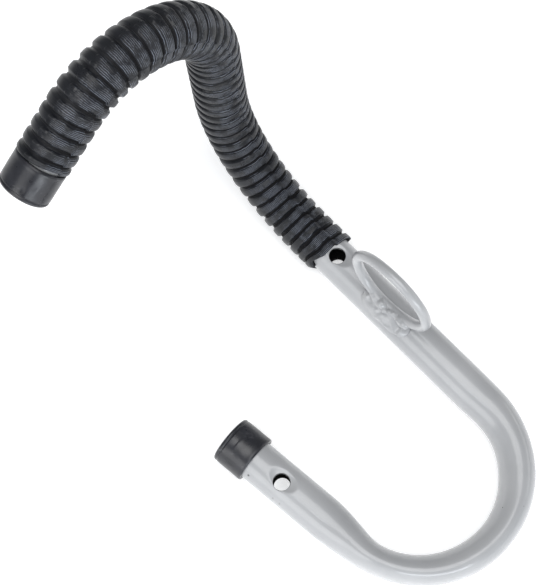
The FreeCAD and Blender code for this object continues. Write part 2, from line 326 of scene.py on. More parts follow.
def squash_share(distances):
    """How much of the largest squash the tube has at each distance."""
    places = (distances - BEND_START) / BEND_LENGTH
    shares = np.zeros_like(places)
    for number in range(len(SQUASH_PLACES) - 1):
        low, high = SQUASH_PLACES[number:number + 2]
        first, last = SQUASH_SHARES[number:number + 2]
        inside = (places >= low) & (places <= high)
        shares = np.where(inside, first + (last - first) * smooth(places, low, high), shares)
    return shares


def tube_skin(distances, angles, inset):
    """Points on the tube's skin, or on its bore when inset is the wall's thickness."""
    distances, angles = np.broadcast_arrays(distances, angles)
    loss = TUBE_RAD * SQUASH_MAX * squash_share(distances)
    height = (TUBE_RAD + loss * SQUASH_SPREAD - inset) * np.cos(angles)
    sideways = (TUBE_RAD - loss - inset) * np.sin(angles)
    sideways = sideways - loss * (SQUASH_SHIFT + SQUASH_LEAN * np.cos(angles) ** 2)
    for hole, (ahead, aside) in ((HEEL_HOLE, HEEL_SEAT), (ARM_HOLE, ARM_SEAT)):
        ball = SEAT_BALL_RAD + inset
        reach = (distances - hole - ahead) ** 2 + (sideways - aside) ** 2
        reach = np.minimum(reach, (SEAT_REACH * ball) ** 2)
        pressed = TUBE_RAD - SEAT_DEPTH + SEAT_BALL_RAD - np.sqrt(ball ** 2 - reach)
        near = (np.abs(distances - hole) < SEAT_REACH * ball) & (height > 0)
        height = np.where(near, soft_lower(height, pressed, SEAT_SOFTNESS), height)
    spots, axes = line.at(distances)
    points = spots + height.reshape(-1, 1) * axes[:, 1] + sideways.reshape(-1, 1) * axes[:, 2]
    return points.reshape(distances.shape + (3,))


class Shell:
    """Vertices and faces of a mesh as it grows, and a 1 for each vertex painted near black: the bore, partly
    bare steel and partly painted shade, and the holes' inner rims as painted shade.
    """

    def __init__(self):
        self.points = []
        self.dark_bore_and_shade = []
        self.faces = []

    def add(self, points, dark_bore_and_shade):
        """Add a grid of points and return the grid of their numbers."""
        first = len(self.points)
        self.points.extend(points.reshape(-1, 3))
        self.dark_bore_and_shade.extend([dark_bore_and_shade] * (len(self.points) - first))
        return np.arange(first, len(self.points)).reshape(points.shape[:-1])


def window_edge(index, rows, columns):
    """Vertex numbers round a window of the grid, in order, and their rows and columns."""
    top, bottom = rows
    around = [(top, c) for c in columns[:-1]]
    around += [(r, columns[-1]) for r in range(top, bottom)]
    around += [(bottom, c) for c in columns[:0:-1]]
    around += [(r, columns[0]) for r in range(bottom, top, -1)]
    return np.array([index[r, c % TUBE_COLUMNS] for r, c in around]), around


def add_rows(distances, high, count):
    """Carry a list of distances on to a higher one in even steps."""
    distances.extend(np.linspace(distances[-1], high, count + 1)[1:])


def wall_rows(step):
    """Distances of a skin's rows: a fixed number in each window, and wider apart inside the sleeve."""
    distances = [0.0]
    for hole in (HEEL_HOLE, ARM_HOLE):
        add_rows(distances, hole - WINDOW, math.ceil((hole - WINDOW - distances[-1]) / step))
        add_rows(distances, hole + WINDOW, WINDOW_STEPS)
    add_rows(distances, TIP, math.ceil((TIP - distances[-1]) / (step * COARSER_IN_SLEEVE)))
    return np.array(distances)


def tube_wall_grid(shell, inset, step):
    """One skin of the tube with four round openings. Returns its end rows and its hole rings."""
    distances = wall_rows(step)
    angles = np.radians(np.arange(TUBE_COLUMNS) * 360 / TUBE_COLUMNS)
    # The bore is marked for near black: bare steel, darkened as painted shade.
    index = shell.add(tube_skin(distances[:, None], angles[None, :], inset), float(inset > 0))
    open_cells = np.zeros(index.shape, bool)
    rings = {}
    for hole, seat in ((HEEL_HOLE, HEEL_SEAT), (ARM_HOLE, ARM_SEAT)):
        top = int(np.argmin(np.abs(distances - (hole - WINDOW))))
        for side, middle in (("front", 0), ("back", TUBE_COLUMNS // 2)):
            columns = list(range(middle - WINDOW_COLUMNS, middle + WINDOW_COLUMNS + 1))
            for column in columns[:-1]:
                open_cells[top:top + WINDOW_STEPS, column % TUBE_COLUMNS] = True
            edge, around = window_edge(index, (top, top + WINDOW_STEPS), columns)
            edge_at = np.array([distances[r] for r, _ in around]) - hole
            edge_aside = (TUBE_RAD - inset) * np.sin([angles[c % TUBE_COLUMNS] for _, c in around])
            spot = seat if side == "front" else (0.0, 0.0)
            rings[hole, side] = hole_patch(shell, hole, side, inset, edge, edge_at, edge_aside, spot)
    quads = np.array(grid_faces(index))
    closed = ~open_cells[:-1].reshape(-1)
    shell.faces.extend(quads[closed].tolist())
    return index[0], index[-1], rings


def hole_patch(shell, hole, side, inset, edge, edge_at, edge_aside, spot):
    """Fill a window between its edge and a round opening. Returns the ring at the opening."""
    heading = np.arctan2(edge_aside - spot[1], edge_at - spot[0])
    rim = SCREW_RAD + (SCREW_ROUNDING if inset == 0 else 0)
    last = edge
    for share in 1 - np.linspace(1, 0, PATCH_STEPS + 1)[1:] ** PATCH_CROWDING:
        at = edge_at * (1 - share) + (spot[0] + rim * np.cos(heading)) * share
        aside = edge_aside * (1 - share) + (spot[1] + rim * np.sin(heading)) * share
        angle = np.arcsin(aside / (TUBE_RAD - inset))
        angle = angle if side == "front" else math.pi - angle
        points = tube_skin(hole + at, angle, inset)
        ring = shell.add(points, float(inset > 0))
        shell.faces.extend(grid_faces(np.array([last, ring])))
        last = ring
    if inset:
        return last
    up = line.at([hole])[1][0, 1] * (1 if side == "front" else -1)
    centre = points.mean(0)
    for degrees in ROUNDING_DEG:
        fall = math.radians(degrees)
        narrowing = SCREW_ROUNDING * math.sin(fall)
        rounded = points - up * SCREW_ROUNDING * (1 - math.cos(fall))
        outward = points - centre
        outward -= np.outer(outward @ up, up)
        outward /= np.linalg.norm(outward, axis=1)[:, None]
        rounded -= outward * narrowing
        # Rings turned far into the hole are marked for painted shade.
        ring = shell.add(rounded, float(degrees > RIM_SHADE_FROM_DEG))
        shell.faces.extend(grid_faces(np.array([last, ring])))
        last = ring
    return last


def make_hook_tube(material):
    """The tube's skin and bore, joined at both ends and through the four screw openings."""
    shell = Shell()
    outer_heel, outer_tip, outer_rings = tube_wall_grid(shell, 0.0, SKIN_STEP)
    inner_heel, inner_tip, inner_rings = tube_wall_grid(shell, TUBE_WALL, BORE_STEP)
    for one, other in ((outer_heel, inner_heel), (outer_tip, inner_tip)):
        shell.faces.extend(grid_faces(np.array([one, other])))
    for key, ring in outer_rings.items():
        shell.faces.extend(grid_faces(np.array([ring, inner_rings[key]])))
    used = sorted({number for face in shell.faces for number in face})
    renumber = {old: new for new, old in enumerate(used)}
    points = [shell.points[number] for number in used]
    faces = [[renumber[number] for number in face] for face in shell.faces]
    faces = lined_up_faces(points, faces)
    piece = new_piece("hook_tube_painted", points, faces, material, "enamel", "hook_tube")
    # The marks go to the material as near black: bare steel and painted shade.
    keep_values(piece, "inside", np.array([shell.dark_bore_and_shade[number] for number in used]))
    return piece


# ---------------------------------------------------------------- ribbed_sleeve

# Along a rib, 0 is the middle of its crest and 1 is the middle of the groove beside it.
RIB_STEPS = (0.0, 0.14, 0.28, 0.40, 0.50, 0.58, 0.66, 0.74, 0.81, 0.88, 0.92, 0.96)
CREST_END = 0.58
ARCH_CREST_END = 0.50
FLOOR_START = 0.88
WORN_FLANK = (0.20, 0.92)
PAD_FLANKS = ((0.25, 0.35), (0.66, 0.74))
# Painted shade: where in a groove its near black begins and where it is full.
GROOVE_SHADE_SPAN = (0.73, 0.89)
DRAG_LINES_PER_RIB = 9

CAP_GAP = 0.4 * MM
SLEEVE_START = ARM_HOLE + SLEEVE_GAP
SLEEVE_END = TIP - CAP_SKIRT - CAP_GAP

# Where the mould's seams, the pads, the stretched side and the side with full painted groove shade lie, and
# how wide they are.
SEAM_WIDTH_DEG = 1.8
OTHER_SEAM_DEG = SEAM_DEG + 179
OTHER_SEAM_WIDTH_DEG = 2.2
PADS_DEG = -88.0
PAD_WIDTH_DEG = 8.0
STRETCHED_DEG = -90.0
STRETCHED_WIDTH_DEG = 75
# The side where the grooves get their full painted shade.
FULL_GROOVE_SHADE_DEG = -45
FULL_GROOVE_SHADE_FLANK_DEG = (-60, 5)
# Drag lines, with their painted sheen, lie within these degrees from the seam.
LINED_DEG = ((-110, -40), (40, 110))

# The mesh's columns: degrees between them, and closer ones given as middle, reach and step.
WIDE_STEP_DEG = 3.4
LEAST_STEP_DEG = 0.5
CLOSE_COLUMNS = ((SEAM_DEG, 10, 1.0), (OTHER_SEAM_DEG, 8, 1.6), (PADS_DEG, 14, 2.0))
BORE_ROWS = 90
SLEEVE_SEED = 11

# How much closer together the ribs are in the middle of the sleeve than at its ends.
CROWDING = 0.045

# Shares: of a rounder, worn profile, of the depth lost where the sleeve is stretched, and of chance in it.
WEAR = 0.15
SLACK = 0.30
UNEVEN_DEPTH = 0.06

# Shares: how much of the painted groove shade the arch keeps on its far side, and how much of the drag lines
# grooves lose.
FAR_SIDE_GROOVE_SHADE = 0.20
LINES_LOST_IN_GROOVE = 0.7

# Stretches of the sleeve, from its start: where each soft end begins and stops.
ARCH = (125 * MM, 165 * MM)
PADS_BEGIN = (200 * MM, 220 * MM)
WORN = ((15 * MM, 60 * MM), (170 * MM, 215 * MM))
STRETCHED = ((165 * MM, 205 * MM), (290 * MM, 320 * MM))

# Heights that stand out from the ribs or sink into them.
FLOOR_RIDGE = 0.20 * MM
CREST_CROWN = 0.16 * MM
SEAM_IN_GROOVE = 0.95 * MM
SEAM_ON_CREST = 0.20 * MM
OTHER_SEAM_IN_GROOVE = 0.7 * MM
OTHER_SEAM_ON_CREST = 0.12 * MM
PAD_HEIGHT = 0.34 * MM
EDGE_ROUNDING = 0.5 * MM
EDGE_LENGTH = 0.8 * MM

# The end near the arm's hole: its pinched side, and its torn lip with a smaller one opposite. Each fades
# with its own length along the sleeve.
PINCH_DEG = 97
PINCH_REACH_DEG = 68
PINCH = 5.6 * MM
PINCH_FADE = 15 * MM
LIP_DEG = 83
LIP_WIDTH_DEG = 9
SMALL_LIP_DEG = -78
SMALL_LIP_WIDTH_DEG = 6
SMALL_LIP_SHARE = 0.35
LIP = 3.9 * MM
LIP_FADE = 1.6 * MM

# The slanted gap at the tip cap, the ribs' step across the seam, and their crookedness.
TIP_GAP_DEG = -16
TIP_GAP = 1.5 * MM
TIP_GAP_FADE = 9 * MM
SEAM_STEP = 0.55 * MM
SEAM_STEP_WIDTH_DEG = 1.6
SEAM_STEP_REACH_DEG = 60
RIB_WANDER = 0.22 * MM
WANDER_FROM_ENDS = 6 * MM


def sleeve_angles():
    """Angles round the sleeve, closer together where the mould's seams and pads are."""
    spread = [np.arange(-180, 180, WIDE_STEP_DEG)]
    for middle, reach, step in CLOSE_COLUMNS:
        spread.append(np.arange(middle - reach, middle + reach, step))
    together = np.sort((np.concatenate(spread) + 180) % 360 - 180)
    apart = np.diff(together, append=together[0] + 360) > LEAST_STEP_DEG
    return np.radians(together[apart])[None, :]


def sleeve_rows():
    """Rib turns and distances of the sleeve's rows. Crests are at whole turns, unevenly far apart."""
    half = np.array(RIB_STEPS) / 2
    steps = np.concatenate([half, 1 - half[::-1]])[:-1]
    first, last = -0.10, SLEEVE_RIBS + 0.10
    turns = (np.arange(SLEEVE_RIBS)[:, None] + np.append(steps, 0.5)).ravel()
    turns = np.unique(np.concatenate([[first, first / 2], turns, [SLEEVE_RIBS, last]]))
    even = np.linspace(0, 1, 500)
    crowded = even - CROWDING * np.sin(2 * math.pi * even) / (2 * math.pi)
    share = np.interp((turns - first) / (last - first), crowded, even)
    return turns[:, None], (SLEEVE_START + share * (SLEEVE_END - SLEEVE_START))[:, None]


def rib_numbers(turns):
    """The number of the nearest crest and of the groove that each turn is in."""
    rib = np.clip(np.round(turns).astype(int), 0, SLEEVE_RIBS)
    groove = np.clip(np.floor(turns).astype(int), 0, SLEEVE_RIBS)
    return rib, groove


def sleeve_radius(turns, distances, angles, chance):
    """Height of the ribs with the mould's seams and pads, and how much painted shade darkens each point in a
    groove.
    """
    turns, distances, angles = np.broadcast_arrays(turns, distances, angles)
    rib, groove = rib_numbers(turns)
    away = 2 * np.abs(turns - np.round(turns))
    from_start = distances - SLEEVE_START
    on_arch = smooth(from_start, *ARCH)
    crest_end = CREST_END + (ARCH_CREST_END - CREST_END) * on_arch
    crisp = np.clip((away - crest_end) / (FLOOR_START - crest_end), 0, 1)
    worn = smooth(away, *WORN_FLANK)
    wear = WEAR * between(from_start, *WORN)
    fall = crisp * (1 - wear) + worn * wear
    stretched = bump(degrees_from(angles, STRETCHED_DEG), 0, STRETCHED_WIDTH_DEG)
    stretched = stretched * between(from_start, *STRETCHED)
    depth = RIB_DEPTH * (1 + UNEVEN_DEPTH * chance["depth"][rib]) * (1 - SLACK * stretched)
    radius = RIB_RAD - depth * fall
    radius += FLOOR_RIDGE * smooth(away, FLOOR_START, 1.0)
    radius -= CREST_CROWN * np.clip(away / crest_end, 0, 1) ** 2 * (1 - fall)
    seam = bump(degrees_from(angles, SEAM_DEG), 0, SEAM_WIDTH_DEG)
    flash = 0.5 + 0.5 * chance["flash"][groove]
    radius += seam * (SEAM_IN_GROOVE * fall * flash + SEAM_ON_CREST * (1 - fall))
    other_seam = bump(degrees_from(angles, OTHER_SEAM_DEG), 0, OTHER_SEAM_WIDTH_DEG)
    radius += other_seam * (OTHER_SEAM_IN_GROOVE * fall + OTHER_SEAM_ON_CREST * (1 - fall))
    pads = smooth(bump(degrees_from(angles, PADS_DEG), 0, PAD_WIDTH_DEG), 0.35, 0.6)
    radius += pads * smooth(from_start, *PADS_BEGIN) * PAD_HEIGHT * between(away, *PAD_FLANKS)
    # Painted shade in the grooves: full on one side, and on the arch weaker on the far side.
    full_groove_shade = smooth(degrees_from(angles, FULL_GROOVE_SHADE_DEG), *FULL_GROOVE_SHADE_FLANK_DEG)
    groove_shade_share = FAR_SIDE_GROOVE_SHADE + (1 - FAR_SIDE_GROOVE_SHADE) * full_groove_shade
    return radius, smooth(away, *GROOVE_SHADE_SPAN) * (1 - on_arch * (1 - groove_shade_share))


def sleeve_shift(turns, distances, angles, chance):
    """How far each point is pushed along the tube: pinched ends, a torn lip and crooked ribs."""
    rib, _ = rib_numbers(turns)
    from_start = distances - SLEEVE_START
    to_end = SLEEVE_END - distances
    from_pinch = degrees_from(angles, PINCH_DEG)
    pinch = np.clip(np.cos(np.radians(from_pinch) * 90 / PINCH_REACH_DEG), 0, 1)
    pinch = np.where(np.abs(from_pinch) < PINCH_REACH_DEG, pinch ** 1.4, 0)
    shift = PINCH * pinch * np.exp(-from_start / PINCH_FADE)
    lip = bump(degrees_from(angles, LIP_DEG), 0, LIP_WIDTH_DEG)
    lip = lip + SMALL_LIP_SHARE * bump(degrees_from(angles, SMALL_LIP_DEG), 0, SMALL_LIP_WIDTH_DEG)
    shift -= LIP * lip * np.exp(-from_start / LIP_FADE)
    from_gap = np.clip(1.7 * degrees_from(angles, TIP_GAP_DEG), -180, 180)
    shift -= TIP_GAP * (0.5 + 0.5 * np.cos(np.radians(from_gap))) * np.exp(-to_end / TIP_GAP_FADE)
    from_seam = degrees_from(angles, SEAM_DEG)
    shift += SEAM_STEP * np.tanh(from_seam / SEAM_STEP_WIDTH_DEG) * bump(from_seam, 0, SEAM_STEP_REACH_DEG)
    wander = RIB_WANDER * chance["lean"][rib] * np.cos(angles + 3 * chance["phase"][rib])
    wander = wander * smooth(from_start, 0, WANDER_FROM_ENDS) * smooth(to_end, 0, WANDER_FROM_ENDS)
    return shift + wander


def make_sleeve(material):
    """Outside, end, bore and other end, as one closed sweep round the tube."""
    dice = np.random.default_rng(SLEEVE_SEED)
    chance = {key: dice.uniform(-1, 1, SLEEVE_RIBS + 1) for key in ("depth", "flash", "lean", "phase")}
    angles = sleeve_angles()
    turns, outside = sleeve_rows()
    radius, groove_shade = sleeve_radius(turns, outside, angles, chance)
    for distance_to_edge in (outside - SLEEVE_START, SLEEVE_END - outside):
        radius = radius - EDGE_ROUNDING * (1 - smooth(distance_to_edge, 0, EDGE_LENGTH)) ** 2
    bore = np.linspace(SLEEVE_END, SLEEVE_START, BORE_ROWS)[:, None]
    bore_turns = np.linspace(SLEEVE_RIBS, 0, BORE_ROWS)[:, None]
    bore_radius = np.full((bore.size, angles.size), SLEEVE_BORE)
    all_turns = np.concatenate([turns, bore_turns])
    all_distances = np.concatenate([outside, bore])
    shift = sleeve_shift(all_turns, all_distances, angles, chance)
    grid = on_line(all_distances + shift, angles, np.concatenate([radius, bore_radius]))
    index = np.arange(grid.shape[0] * grid.shape[1]).reshape(grid.shape[:2])
    faces = grid_faces(index, wrap_rows=True)
    piece = new_piece("ribbed_grip", grid.reshape(-1, 3), faces, material, "sleeve_rubber", "ribbed_sleeve")
    from_seam = degrees_from(angles, SEAM_DEG)
    # The drag lines bump the rubber and also carry a painted sheen.
    lined = between(from_seam, *LINED_DEG) * (1 - LINES_LOST_IN_GROOVE * groove_shade)
    # The grooves get near-black painted shade from this reading.
    keep_values(piece, "groove", np.concatenate([groove_shade, np.ones_like(bore_radius)]))
    keep_values(piece, "drag_lines_and_sheen", np.concatenate([lined, np.zeros_like(bore_radius)]))
    keep_values(piece, "rib_turns", np.broadcast_to(all_turns, shift.shape))
    return piece


# ---------------------------------------------------------------- end caps

CAP_COLUMNS = 120
CAP_CORNER = 1.5 * MM
CAP_LIP = 0.45 * MM
CAP_DOME = 0.25 * MM
CAP_FLOOR = 0.1 * MM
CAP_SKIN = 1.2 * MM
DENTS_PER_M = 140
DENT_HEIGHT = 0.10 * MM

# The skirt, as shares of its length from the closed end: close rows over the groove, then wider ones.
CLOSE_ROWS = np.linspace(0, 0.14, 15)[1:]
WIDE_ROWS = np.linspace(0.14, 1, 23)[1:]
SWELL = 0.096 * MM
END_GROOVE = 0.45 * MM
END_GROOVE_AT = 0.05
END_GROOVE_WIDTH = 0.022
BEAD = 0.15 * MM
BEAD_AT = 0.94
BEAD_WIDTH = 0.05

# Marks on a cap's side: place along it from the tube's end, degrees round it, half length, half width in
# degrees and height.
TIP_MARKS = ((-7 * MM, -35, 2.6 * MM, 5, 0.25 * MM), (-4 * MM, -60, 2.0 * MM, 4, -0.2 * MM))
HEEL_MARKS = ((-6 * MM, -8, 0.5 * MM, 14, 0.35 * MM), (-9 * MM, -55, 3.0 * MM, 4, -0.2 * MM))


def arc_points(centre, radius, first, last, count):
    """Points of an arc in (along, out) coordinates, angles in degrees from the out direction."""
    turns = np.radians(np.linspace(first, last, count))
    return [(centre[0] + radius * math.sin(a), centre[1] + radius * math.cos(a)) for a in turns]


def cap_outline():
    """Half section of a cap from the middle of its closed end to the middle of its floor."""
    flat = CAP_RAD - CAP_CORNER
    shares = np.linspace(0, 1, 11)
    end = [(CAP_END + CAP_DOME * (1 - share ** 2), flat * share) for share in shares]
    shoulder = CAP_END - CAP_CORNER
    end += arc_points((shoulder, flat), CAP_CORNER, 90, 0, 8)[1:]
    skirt = []
    length = shoulder + CAP_SKIRT - CAP_LIP
    for share in np.concatenate([CLOSE_ROWS, WIDE_ROWS]):
        relief = SWELL * math.sin(math.pi * share)
        relief -= END_GROOVE * bump(share, END_GROOVE_AT, END_GROOVE_WIDTH)
        relief += BEAD * bump(share, BEAD_AT, BEAD_WIDTH)
        skirt.append((shoulder - share * length, CAP_RAD + relief))
    rim = arc_points((-CAP_SKIRT + CAP_LIP, CAP_RAD - CAP_LIP), CAP_LIP, 0, -90, 5)
    inner_rim = arc_points((-CAP_SKIRT + CAP_LIP, CAP_BORE + CAP_LIP), CAP_LIP, -90, -180, 5)
    floor = [(CAP_FLOOR, CAP_BORE), (CAP_FLOOR, CAP_BORE * 0.5), (CAP_FLOOR, 0.0)]
    return end + skirt + rim + inner_rim + [(-CAP_SKIRT / 2, CAP_BORE)] + floor


def make_cap(name, node, distance, outward, material, marks, seed):
    """A turned cup, softly dented. `outward` is 1 where the tube's end looks ahead, and -1 at its heel."""
    outline = cap_outline()
    along = np.array([point[0] for point in outline])[1:-1, None]
    out = np.array([point[1] for point in outline])[1:-1, None]
    angles = np.radians(np.arange(CAP_COLUMNS) * 360 / CAP_COLUMNS)[None, :]
    grid = on_line(distance + outward * along, angles, out)
    index = np.arange(grid.size // 3).reshape(grid.shape[:2])
    faces = grid_faces(index)
    poles = [on_line(distance + outward * outline[end][0], 0.0, 0.0) for end in (0, -1)]
    points = np.concatenate([grid.reshape(-1, 3), [poles[0]], [poles[1]]])
    for pole, row in ((len(points) - 2, index[0]), (len(points) - 1, index[-1])):
        faces += [[pole, int(row[n]), int(row[(n + 1) % CAP_COLUMNS])] for n in range(CAP_COLUMNS)]
    spots, axes = line.at(np.full(len(points), distance))
    from_axis = points - spots
    from_axis -= (from_axis * axes[:, 0]).sum(1)[:, None] * axes[:, 0]
    reach = np.linalg.norm(from_axis, axis=1)
    skin = reach > CAP_RAD - CAP_SKIN
    dents = np.array([noise.noise(Vector(p) * DENTS_PER_M + Vector((seed, 0, 0))) for p in points])
    push = DENT_HEIGHT * dents * skin
    run = ((points - spots) * axes[:, 0]).sum(1) * outward
    round_angle = np.arctan2((from_axis * axes[:, 2]).sum(1), (from_axis * axes[:, 1]).sum(1))
    for where, middle, length, width, height in marks:
        shape = bump(run, where, length) * bump(degrees_from(round_angle, middle), 0, width)
        push = push + height * shape * skin
    points = points + push[:, None] * from_axis / np.maximum(reach, 1e-6)[:, None]
    return new_piece(name, points, faces, material, "cap_vinyl", node)


# ---------------------------------------------------------------- lock ring and its weld

RING_ROWS = 180
ROD_COLUMNS = 28
RING_OVAL = 0.22 * MM
RING_LOBES = 0.10 * MM
RING_WARP = 0.30 * MM
ROD_UNEVEN = 0.012


def ring_axes():
    """Centre of the ring and its own axes: along the leg, up, and through the eye."""
    mount = next(m for m in frame["record"]["mounts"] if m["name"] == "lock_ring_eye")
    through = Vector(mount["axis"]).normalized()
    along = UP.cross(through).normalized()
    return Vector(mount["pos_m"]), along, through.cross(along), through


def make_ring(material):
    """The ring: round rod bent to a loop that is not quite true, butted under the weld."""
    centre, along, stand, through = ring_axes()
    turns = np.radians(np.arange(RING_ROWS) * 360 / RING_ROWS)[:, None]
    section = np.radians(np.arange(ROD_COLUMNS) * 360 / ROD_COLUMNS)[None, :]
    radius = RING_RAD + RING_OVAL * np.cos(2 * turns + 0.6) + RING_LOBES * np.cos(3 * turns)
    warp = RING_WARP * np.sin(2 * turns + 1.1)
    rod = ROD_RAD * (1 + ROD_UNEVEN * np.cos(5 * turns + 2 * section))
    out = radius + rod * np.cos(section)
    across = warp + rod * np.sin(section)
    points = np.array(centre) + (out * np.cos(turns))[..., None] * np.array(along)
    points = points + (out * np.sin(turns))[..., None] * np.array(stand)
    points = points + across[..., None] * np.array(through)
    index = np.arange(points.size // 3).reshape(points.shape[:2])
    faces = grid_faces(index, wrap_rows=True)
    return new_piece("padlock_ring", points.reshape(-1, 3), faces, material, "enamel", "lock_ring")


# Lumps of weld metal on the tube. In millimetres: along the leg from the ring's foot, degrees round the
# tube from the up axis towards the side axis, height above its skin, then half length, width and height.
TUBE_LUMPS = (
    (-2.0, 27, 0.0, 19.0, 7.2, 4.6),
    (2.0, 34, -0.4, 15.0, 6.4, 2.6),
    (-9.0, 30, 0.0, 11.0, 6.4, 3.2),
    (9.0, 22, 0.6, 8.0, 5.0, 3.6),
    (-16.0, 28, 0.6, 5.0, 5.2, 2.8),
)

# Lumps over the ring's rod. Degrees from the ring's foot towards the arm's hole, then in millimetres how
# far towards the tube's side axis, how high above the rod's middle, and the radius.
ROD_LUMPS = (
    (21, 1.0, 0.0, 3.4),
    (15, 1.6, 0.2, 3.8),
    (9, 2.0, 0.6, 3.8),
    (6, 3.2, 2.2, 2.8),
    (2, 2.6, 2.0, 2.2),
    (3, 2.0, 0.2, 3.6),
    (-2, 4.4, 1.6, 2.0),
    (-4, 0.8, -0.4, 3.5),
    (-8, 3.3, 1.7, 1.9),
    (-11, 0.8, -0.3, 3.5),
    (-14, 2.3, 1.7, 1.9),
    (-19, 1.3, 1.4, 2.0),
    (-20, 0.8, -0.2, 3.5),
    (-25, 0.6, 0.6, 2.6),
    (-29, 1.4, -0.6, 3.7),
    (-35, 1.8, -1.4, 3.4),
)
ROD_LUMP_STRETCH = 1.15

WELD_VOXEL = 0.40 * MM
WELD_SOFTENING = 4
RIDGES_PER_M = 150
RIDGE_HEIGHT = 0.42 * MM
GRAINS_PER_M = 620
GRAIN_HEIGHT = 0.07 * MM


def lump_shape(spot, first, second, third, sizes):
    """Matrix that turns a unit ball into a lump with three half sizes in millimetres."""
    columns = [axis * size * MM for axis, size in zip((first, second, third), sizes)]
    return Matrix.Translation(spot) @ Matrix(columns).transposed().to_4x4()


def lump_places():
    """Where the lumps go: on the tube's skin and along the ring's rod."""
    foot = ARM_HOLE - RING_SETBACK
    for run, angle, lift, *sizes in TUBE_LUMPS:
        spots, axes = line.at([foot + run * MM])
        ahead, up, side = (Vector(axis) for axis in axes[0])
        outward = up * math.cos(math.radians(angle)) + side * math.sin(math.radians(angle))
        spot = Vector(spots[0]) + outward * (TUBE_RAD + lift * MM)
        yield lump_shape(spot, ahead, ahead.cross(outward), outward, sizes)
    centre, along, stand, through = ring_axes()
    ahead, _, side = (Vector(axis) for axis in line.at([foot])[1][0])
    along = along if along.dot(ahead) > 0 else -along
    through = through if through.dot(side) > 0 else -through
    for degrees, aside, lift, size in ROD_LUMPS:
        angle = math.radians(degrees)
        spot = centre + (along * math.sin(angle) - stand * math.cos(angle)) * RING_RAD
        spot = spot + through * aside * MM + stand * lift * MM
        yield lump_shape(spot, along, through, stand, (size * ROD_LUMP_STRETCH, size, size))


def make_weld(material):
    """The weld: overlapping lumps of run metal, fused and softened, with ridges and grains on them."""
    lumps = bmesh.new()
    for shape in lump_places():
        bmesh.ops.create_icosphere(lumps, subdivisions=3, radius=1.0, matrix=shape)
    mesh = bpy.data.meshes.new("weld_lumps")
    lumps.to_mesh(mesh)
    lumps.free()
    draft = bpy.data.objects.new("weld_draft", mesh)
    bpy.context.scene.collection.objects.link(draft)
    fuse = draft.modifiers.new("fuse", "REMESH")
    fuse.mode = "VOXEL"
    fuse.voxel_size = WELD_VOXEL
    soften = draft.modifiers.new("soften", "SMOOTH")
    soften.iterations = WELD_SOFTENING
    soften.factor = 0.5
    ready = draft.evaluated_get(bpy.context.evaluated_depsgraph_get())
    fused = bpy.data.meshes.new_from_object(ready)
    bpy.data.objects.remove(draft)
    for vertex in fused.vertices:
        ridge = 0.5 - 2.5 * abs(noise.noise(vertex.co * RIDGES_PER_M))
        grain = noise.noise(vertex.co * GRAINS_PER_M)
        vertex.co += vertex.normal * (ridge * RIDGE_HEIGHT + grain * GRAIN_HEIGHT)
    return dressed_piece("ring_weld_bead", fused, material, "enamel", "ring_weld")


# ---------------------------------------------------------------- materials

# Base colours, which noise and stored values mix with each other.
PAINT_DARK = (0.360, 0.366, 0.376, 1)
PAINT_LIGHT = (0.404, 0.409, 0.418, 1)
PIT_COLOUR = (0.06, 0.06, 0.06, 1)
# Near black for the bore's bare steel, darkened as painted shade, and for painted shade on the holes' inner
# rims.
BARE_STEEL_AND_SHADE = (0.004, 0.004, 0.004, 1)
RUBBER_BLACK = (0.006, 0.007, 0.009, 1)
RUBBER_BLOOM = (0.017, 0.018, 0.022, 1)
# Pale blue for the drag lines: a painted sheen over their real fine ridges.
DRAG_LINE_SHEEN = (0.150, 0.165, 0.200, 1)
# Near-black painted shade in the grooves.
GROOVE_PAINTED_SHADE = (0.002, 0.002, 0.003, 1)
VINYL_DARK = (0.011, 0.0115, 0.015, 1)
VINYL_LIGHT = (0.021, 0.022, 0.028, 1)
SCUFF = (0.13, 0.13, 0.14, 1)
FLOOR_DARK = (0.90, 0.90, 0.90, 1)
FLOOR_LIGHT = (0.93, 0.93, 0.93, 1)
WHITE = (1, 1, 1, 1)


